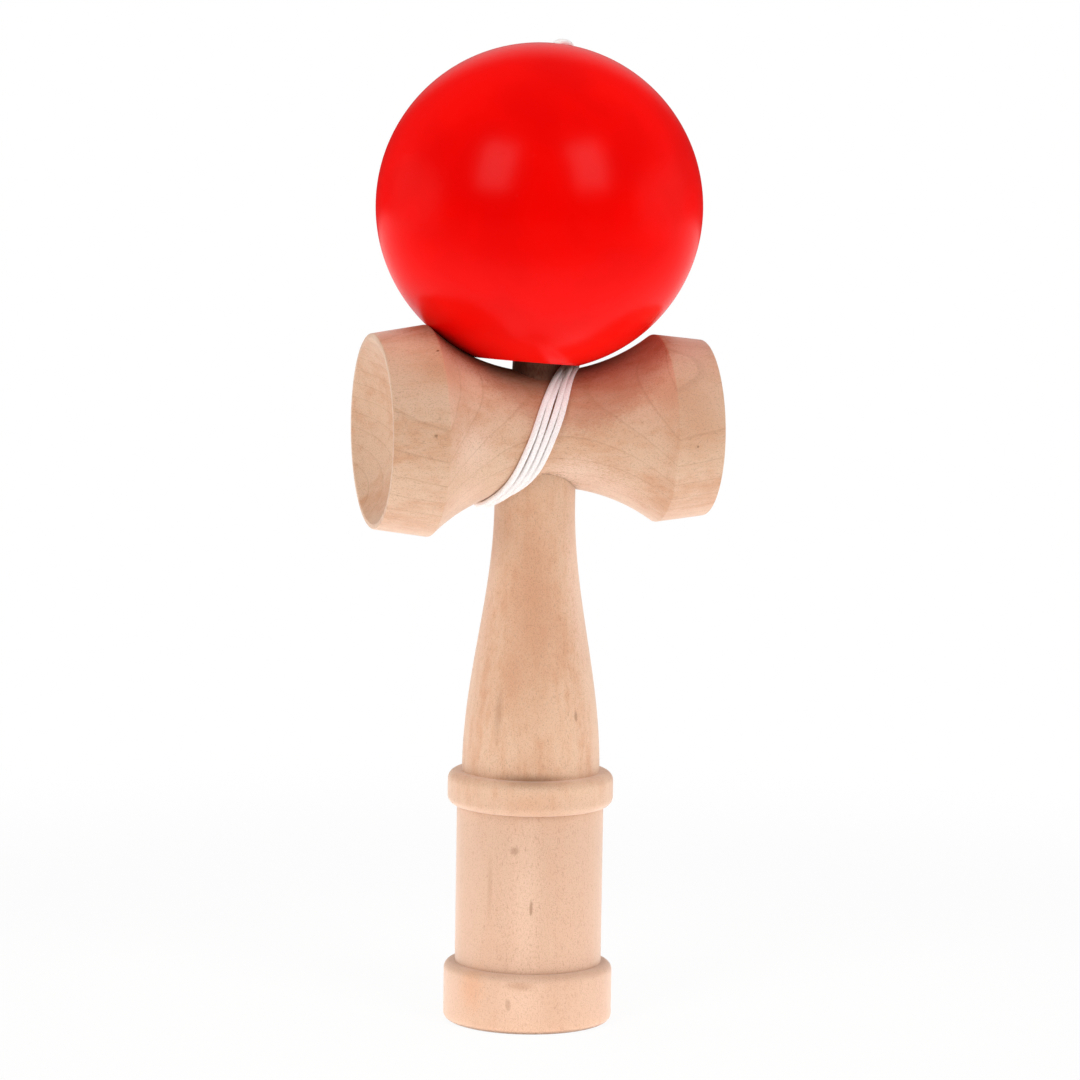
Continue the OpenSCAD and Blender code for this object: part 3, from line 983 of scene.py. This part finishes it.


# Growth and zones of the wood, in millimetres in the toy's frame. Some zones are painted light and painted
# shade
HANDLE_GROWTH = ((14.0, 46.0, 0.0), 34.0, 4.6, 0.03, 0.05)
HANDLE_ZONES = [
    ((-2.2, -8.6, 78.0), 36.0, 7.5, 1.0, 0.9, "wood_tan"),
    # This zone and the next are paler wood along the neck's two sides, painted as the sheen of the bright
    # room at its edges
    ((6.8, -5.2, 76.0), 34.0, 4.5, 1.0, 0.8, "pale_wood_and_painted_light"),
    ((-8.5, -1.0, 66.0), 30.0, 4.5, 1.0, 0.4, "pale_wood_and_painted_light"),
    # Darker, pinker grip and base, partly painted shade against the table glow
    ((0.0, 0.0, 20.0), 30.0, 60.0, 0.4, 0.8, "lower_tone_and_painted_shade"),
    ((-4.3, -12.7, 25.0), 20.0, 5.0, 1.0, 0.4, "pale_wood_and_painted_light"),
    ((-4.9, -14.2, 6.0), 9.0, 6.0, 1.0, 0.3, "pale_wood_and_painted_light"),
    ((-6.6, -9.6, 66.0), 11.0, 4.0, 1.0, 0.9, "wood_tan"),
    ((-13.0, -8.6, 8.0), 7.0, 4.5, 1.0, 0.8, "wood_tan"),
    ((-8.5, -8.5, 59.0), 9.0, 1.4, 1.0, 0.45, "wood_line"),
    ((-9.7, -9.2, 27.0), 9.0, 0.9, 1.0, 0.35, "wood_line"),
    ((-3.9, -14.8, 43.0), 3.0, 7.0, 1.0, 0.5, "wood_tan"),
    ((-3.2, -12.2, 47.0), 1.7, 9.0, 1.0, 0.5, "wood_mark"),
    # Painted shade on the spike's foot, under the ball
    ((0.0, 0.0, 122.5), 9.0, 16.0, 1.0, 1.0, "painted_shade_and_speck"),
    ((-6.0, -12.3, 34.0), 1.0, 1.1, 0.6, 0.4, "wood_mark"),
    ((-3.0, -13.4, 23.4), 2.0, 0.45, 0.6, 0.6, "wood_mark"),
    ((-5.1, -14.3, 9.2), 1.2, 3.6, 0.8, 0.45, "wood_line"),
    ((5.6, -10.6, 58.4), 1.3, 0.5, 0.6, 0.5, "wood_mark"),
    ((-7.2, -13.8, 5.6), 1.5, 0.7, 0.6, 0.35, "wood_mark"),
]
CROSS_GROWTH = ((0.0, 21.2, 89.2), 38.2, 2.9, 0.22, 0.1)
CROSS_ZONES = [
    ((-15.7, -15.0, 108.5), 7.0, 6.0, 1.0, 0.95, "pale_wood_and_painted_light"),
    # This zone and the next are painted light from the white table on the waist's underside
    ((-16.0, -11.3, 99.0), 8.0, 6.0, 1.0, 0.8, "pale_wood_and_painted_light"),
    ((12.4, -7.5, 99.5), 9.0, 6.0, 1.0, 0.8, "pale_wood_and_painted_light"),
    ((27.5, -8.4, 125.0), 5.0, 5.0, 1.0, 0.4, "pale_wood_and_painted_light"),
    ((9.5, -11.5, 112.0), 7.0, 5.0, 1.0, 0.5, "wood_tan"),
    ((26.0, -15.6, 114.0), 8.0, 11.0, 1.0, 0.8, "wood_tan"),
    ((21.3, -14.7, 117.8), 7.0, 6.0, 1.0, 1.0, "wood_tan"),
    # Darker tan here is painted shade beside the ball's lower edge
    ((-21.0, -13.4, 122.6), 8.0, 6.5, 1.0, 1.0, "wood_tan"),
    # Painted light from the white table on the waist's underside, beside the neck
    ((5.5, -9.0, 102.6), 8.0, 5.5, 1.0, 1.0, "pale_wood_and_painted_light"),
    ((0.0, 0.0, 100.9), 8.1, 8.1, 0.05, 0.6, "wood_mark"),
    # Painted red light bounced from the ball, on the cross-piece round it (this zone and the next)
    ((4.0, 0.0, 151.5), 27.0, 44.5, 0.13, 0.33, "painted_red_bounce"),
    ((0.0, 0.0, 151.5), 37.0, 37.0, 0.15, 0.35, "painted_red_bounce"),
    # Painted shade in the crease under the ball
    ((0.0, 0.0, 151.5), 33.4, 33.4, 0.1, 0.35, "painted_shade_and_speck"),
    ((26.2, -17.0, 108.7), 0.35, 0.35, 0.6, 0.8, "wood_mark"),
    ((-23.5, -19.1, 111.5), 0.45, 0.4, 0.6, 0.7, "wood_mark"),
    # A small dark speck under the ball, in the painted shade's colour
    ((-21.5, -11.2, 126.1), 0.35, 0.35, 0.6, 0.7, "painted_shade_and_speck"),
]
BEAD_GROWTH = ((0.0, 20.0, 0.0), 20.0, 1.5, 0.2, 0.3)


# The pieces

class TOY_OT_string(bpy.types.Operator):
    """Makes the string, from its knot in the handle, round the waist and up behind the ball to its top."""

    bl_idname = "toy.string"
    bl_label = "String"

    def execute(self, context):
        s = props().string
        path, exit_point = string_path()
        length = sum((b - a).length for a, b in zip(path, path[1:]))
        mesh = tube(
            "string", path, s.string_d / 2, TUBE_SIDES,
            lambda place, angle: yarn(place, angle) + knot_swell(place) + knot_swell(length - place),
        )
        mesh.shade_smooth()
        mesh.materials.append(string_finish())
        made = piece("string", mesh)
        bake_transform(made)
        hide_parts("string_anchor", "string_winding", "string_over_ball", "string_tail")
        return {"FINISHED"}


class TOY_OT_handle(bpy.types.Operator):
    """Turns the handle."""

    bl_idname = "toy.handle"
    bl_label = "Handle"

    def execute(self, context):
        s = props().string
        made = piece("handle_turning", lathe("handle_turning", handle_outline()))
        pocket_r = s.knot_d / 2 + KNOT_GAP
        thread_r = s.thread_d / 2
        shelf_y = knot_place() + pocket_r
        reach = props().handle.neck_top_d
        cut(made, back_drill("drill", [(0, -reach), (pocket_r, -reach), (pocket_r, shelf_y),
                                       (thread_r, shelf_y), (thread_r, reach), (0, reach)]))
        smooth(made.data)
        made.data.materials.append(wood_finish("handle_wood", (0, 0, 1), HANDLE_GROWTH, HANDLE_ZONES))
        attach(made, "handle_set")
        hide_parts("handle")
        return {"FINISHED"}


class TOY_OT_cross(bpy.types.Operator):
    """Turns the cross-piece and bores it for the handle and the string."""

    bl_idname = "toy.cross"
    bl_label = "Cross-piece"

    def execute(self, context):
        h = props().handle
        c = props().cross
        cross_z = heights().cross
        seat_z, seat_top_z = seat_heights()
        mesh = lathe("cup_cross_turning", cross_outline())
        mesh.transform(Matrix.Translation((0, 0, cross_z)) @ Matrix.Rotation(math.pi / 2, 4, "Y"))
        made = piece("cup_cross_turning", mesh)
        neck_r = h.neck_top_d / 2 + c.seam
        spike_r = h.spike_d / 2 + c.seam
        low_z = cross_z - c.big_shoulder_d
        high_z = cross_z + c.big_shoulder_d
        cut(made, lathe("bore", [(0, low_z), (neck_r, low_z), (neck_r, seat_z),
                                 (spike_r, seat_top_z), (spike_r, high_z), (0, high_z)]))
        thread_r = props().string.thread_d / 2
        flare_y = waist_radius(0) - STRING_FLARE
        end_y = waist_radius(0) + STRING_FLARE
        cut(made, back_drill("thread_hole", [(0, 0), (thread_r, 0), (thread_r, flare_y),
                                             (thread_r + 2 * STRING_FLARE, end_y), (0, end_y)]))
        smooth(made.data)
        made.data.materials.append(wood_finish("cross_wood", (1, 0, 0), CROSS_GROWTH, CROSS_ZONES))
        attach(made, "handle_set")
        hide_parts("cup_cross")
        return {"FINISHED"}


class TOY_OT_ball(bpy.types.Operator):
    """Turns the ball, with its hole for the spike and the string hole at its top."""

    bl_idname = "toy.ball"
    bl_label = "Ball"

    def execute(self, context):
        _, _, place = ball_frame()
        skin, bore = ball_outline()
        mesh = lathe("ball_turning", skin + bore, closed=True)
        mesh.materials.append(lacquer_finish())
        mesh.materials.append(wood_finish("bore_wood", (0, 0, 1), BEAD_GROWTH, []))
        skin_r = props().ball.ball_d / 2 - props().ball.mouth_bevel
        for face in mesh.polygons:
            face.material_index = int(face.center.length < skin_r)
        mesh.transform(place)
        smooth(mesh)
        made = piece("ball_turning", mesh)
        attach(made, "ball")
        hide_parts("ball")
        return {"FINISHED"}


class TOY_OT_bead(bpy.types.Operator):
    """Finishes the stop bead inside the ball."""

    bl_idname = "toy.bead"
    bl_label = "Stop bead"

    def execute(self, context):
        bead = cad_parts["stop_bead"]
        bead.data.materials.clear()
        bead.data.materials.append(wood_finish("bead_wood", (0, 0, 1), BEAD_GROWTH, []))
        return {"FINISHED"}


# The room is brightest above and behind the toy. Its light grows towards there from one share of the way to
# the other, from the lower to the higher strength
WORLD_LIFT = math.radians(25)
WORLD_LEVELS = (-0.9, 0.9, 0.1, 0.65)
# How much of the room shows as a shine, from one share of the way to the other
SHINE_LEVELS = (0.89, 1.0, 0.08, 1.0)
# Half of the floor's side in metres, and how many squares the side has
FLOOR_HALF = 12.0
FLOOR_SEGMENTS = 8
FLOOR_ROUGHNESS = 0.9
# How much plain white the camera sees in the floor near the toy
FLOOR_WHITE_SHARE = 0.92
# The floor takes a shadow near the toy and is plain white further off, in millimetres from the toy
FLOOR_SHADOW_REACH = (60.0, 300.0)
# Height that the lamps point at
LAMP_AIM = 0.1
# Name, angle from the camera, lift, distance, width, height in metres, power in watts and whether it shows
# as a shine on the lacquer
LAMPS = [
    ("left_soft_box", -33.5, 33, 0.9, 0.34, 0.48, 2.9, True),
    ("right_soft_box", 38.5, 33, 0.9, 0.34, 0.48, 2.9, True),
    ("left_wall", -100, 6, 0.9, 0.9, 0.45, 3.0, False),
    ("right_wall", 100, 6, 0.9, 0.9, 0.45, 2.8, False),
]
# The white table sends light up: distance in front, width, depth, height in metres and power in watts
TABLE_GLOW = (-0.03, 0.7, 0.44, 0.0004, 0.92)
# The wider white table shows as a shine: its size in metres and power in watts
TABLE_SHINE = (2.4, 14.5)


def area_lamp(name, width, height, power, place, turn):
    """A rectangular lamp."""
    data = bpy.data.lights.new(name, "AREA")
    data.shape = "RECTANGLE"
    data.size = width
    data.size_y = height
    data.energy = power
    made = piece(name, data)
    made.location = place
    made.rotation_euler = turn
    return made


def towards(azimuth, lift):
    """The direction at an angle round the handle from the front, and at an angle above the horizon."""
    level = math.cos(lift)
    return Vector((math.sin(azimuth) * level, -math.cos(azimuth) * level, math.sin(lift)))


class TOY_OT_stage(bpy.types.Operator):
    """Sets up the camera, the floor and the lights."""

    bl_idname = "toy.stage"
    bl_label = "Stage"

    def execute(self, context):
        self.camera()
        self.floor()
        self.world()
        self.lamps()
        context.scene.view_settings.view_transform = "Standard"
        return {"FINISHED"}

    def camera(self):
        """The camera at the photograph's viewing angle."""
        g = props().stage
        data = bpy.data.cameras.new("camera")
        data.lens = g.lens
        data.sensor_width = g.sensor
        made = piece("camera", data)
        back = towards(g.azimuth, g.elevation)
        right = Vector((math.cos(g.azimuth), math.sin(g.azimuth), 0))
        place = Vector((0, 0, g.aim_height)) + g.aim_right * right + g.distance * back
        look = (-back).to_track_quat("-Z", "Y").to_matrix().to_4x4()
        made.matrix_world = Matrix.Translation(place) @ look @ Matrix.Rotation(g.roll, 4, "Z")
        bpy.context.scene.camera = made

    def floor(self):
        """A plain white floor that keeps a soft shadow."""
        bm = bmesh.new()
        bmesh.ops.create_grid(bm, x_segments=FLOOR_SEGMENTS, y_segments=FLOOR_SEGMENTS, size=FLOOR_HALF)
        mesh = mesh_of("floor", bm)
        made = piece("floor", mesh)
        f = props().finish
        w = Finish("white_floor")
        fade = w.step(w.vector("LENGTH", w.point), *FLOOR_SHADOW_REACH)
        mesh.materials.append(w.finish({
            "Base Color": w.mix(fade, rgba(f.floor), rgba(f.floor_far)),
            "Roughness": FLOOR_ROUGHNESS, "Specular IOR Level": 0.0,
        }))
        white = w.math("MULTIPLY_ADD", fade, 1 - FLOOR_WHITE_SHARE, FLOOR_WHITE_SHARE)
        seen = w.add("LightPath", {}).outputs["Is Camera Ray"]
        w.join(w.math("MULTIPLY", seen, white), w.shader, w.add("Emission", {}), "Material Output")

    def world(self):
        """White for the camera, and for the rest a soft light that grows towards the room's bright side."""
        world = bpy.data.worlds.new("studio")
        world.use_nodes = True
        w = Nodes(world.node_tree)
        bright = towards(props().stage.azimuth + math.pi, WORLD_LIFT)
        facing = w.vector("DOT_PRODUCT", w.add("TexCoord", {}).outputs["Generated"], bright)
        rays = w.add("LightPath", {}).outputs
        shine = w.step(rays["Is Glossy Ray"], 0.0, 1.0, 1.0, w.step(facing, *SHINE_LEVELS))
        fill = w.tree.nodes["Background"]
        w.put(fill.inputs["Color"], WHITE)
        w.put(fill.inputs["Strength"], w.math("MULTIPLY", w.step(facing, *WORLD_LEVELS), shine))
        w.join(rays["Is Camera Ray"], fill, w.add("Background", {"Color": WHITE}), "World Output")
        bpy.context.scene.world = world

    def lamps(self):
        """Two soft boxes beside the camera, two white walls at the sides and the white table."""
        azimuth = props().stage.azimuth
        for name, angle, lift, gap, width, height, power, shine in LAMPS:
            way = towards(azimuth + math.radians(angle), math.radians(lift))
            turn = (-way).to_track_quat("-Z", "Y").to_euler()
            made = area_lamp(name, width, height, power, Vector((0, 0, LAMP_AIM)) + gap * way, turn)
            made.visible_glossy = shine
        gap, width, depth, height, power = TABLE_GLOW
        place = gap * towards(azimuth, 0) + Vector((0, 0, height))
        face_up = (math.pi, 0, azimuth)
        glow = area_lamp("table_glow", width, depth, power, place, face_up)
        glow.visible_camera = False
        glow.visible_glossy = False
        # The shine lies lower than the glow, because two lamps in one plane take each other's light
        size, power = TABLE_SHINE
        shine = area_lamp("table_shine", size, size, power, (0, 0, height / 2), face_up)
        shine.visible_camera = False
        shine.visible_diffuse = False


class TOY_PT_panel(bpy.types.Panel):
    """The toy's pieces, sizes and colours."""

    bl_idname = "TOY_PT_panel"
    bl_label = "Cup and Ball Toy"
    bl_space_type = "VIEW_3D"
    bl_region_type = "UI"
    bl_category = "Toy"

    def draw(self, context):
        for operator in OPERATORS:
            self.layout.operator(operator.bl_idname)
        for name in ("handle", "cross", "ball", "string", "finish", "stage"):
            group = getattr(context.scene.cup_and_ball, name)
            box = self.layout.box()
            box.label(text=name.capitalize())
            for key in group.bl_rna.properties.keys():
                if key not in ("rna_type", "name"):
                    box.prop(group, key)


GROUPS = (ToyHandleSizes, ToyCrossSizes, ToyBallSizes, ToyStringSizes, ToyFinishes, ToyStage, ToyProperties)
OPERATORS = (TOY_OT_stage, TOY_OT_string, TOY_OT_handle, TOY_OT_cross, TOY_OT_ball, TOY_OT_bead)


def register():
    """Adds the toy's classes and properties to Blender."""
    for cls in (*GROUPS, *OPERATORS, TOY_PT_panel):
        bpy.utils.register_class(cls)
    bpy.types.Scene.cup_and_ball = PointerProperty(type=ToyProperties)


def unregister():
    """Takes the toy's classes and properties out of Blender."""
    del bpy.types.Scene.cup_and_ball
    for cls in reversed((*GROUPS, *OPERATORS, TOY_PT_panel)):
        bpy.utils.unregister_class(cls)


def main():
    """Builds the whole toy."""
    register()
    bpy.ops.toy.stage()
    bpy.ops.toy.string()
    bpy.ops.toy.handle()
    bpy.ops.toy.cross()
    bpy.ops.toy.ball()
    bpy.ops.toy.bead()


if __name__ == "__main__":
    main()
